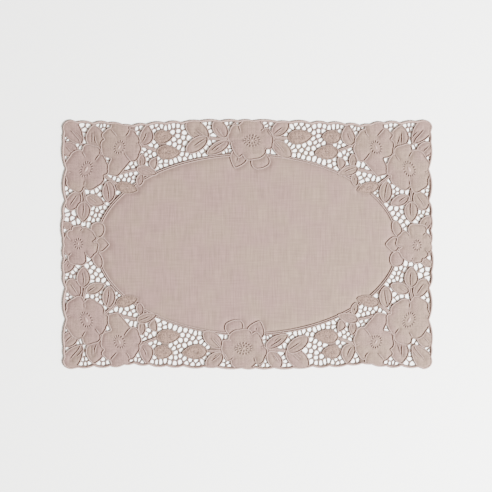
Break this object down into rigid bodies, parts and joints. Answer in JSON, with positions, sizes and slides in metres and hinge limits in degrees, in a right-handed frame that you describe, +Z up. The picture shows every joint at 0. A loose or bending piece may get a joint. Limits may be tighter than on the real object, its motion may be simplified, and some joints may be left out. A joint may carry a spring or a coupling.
{
  "type": "lace placemat",
  "caption": "Rectangular cutwork lace placemat with a plain oval middle, a border of flowers and leaves joined by a net of small bars, and a scalloped edge.",
  "frame": {"origin": "middle of the underside, on the surface the mat lies on", "axes": "+X along the long side, +Y along the short side, +Z up out of the right side of the cloth"},
  "size_m": [0.4502, 0.3026, 0.002],
  "materials": {
    "taupe_cloth": "matt plain weave with raised cord outlines, greyish taupe"
  },
  "bodies": {
    "root": {"lace_mat": "taupe_cloth"}
  },
  "joints": []
}
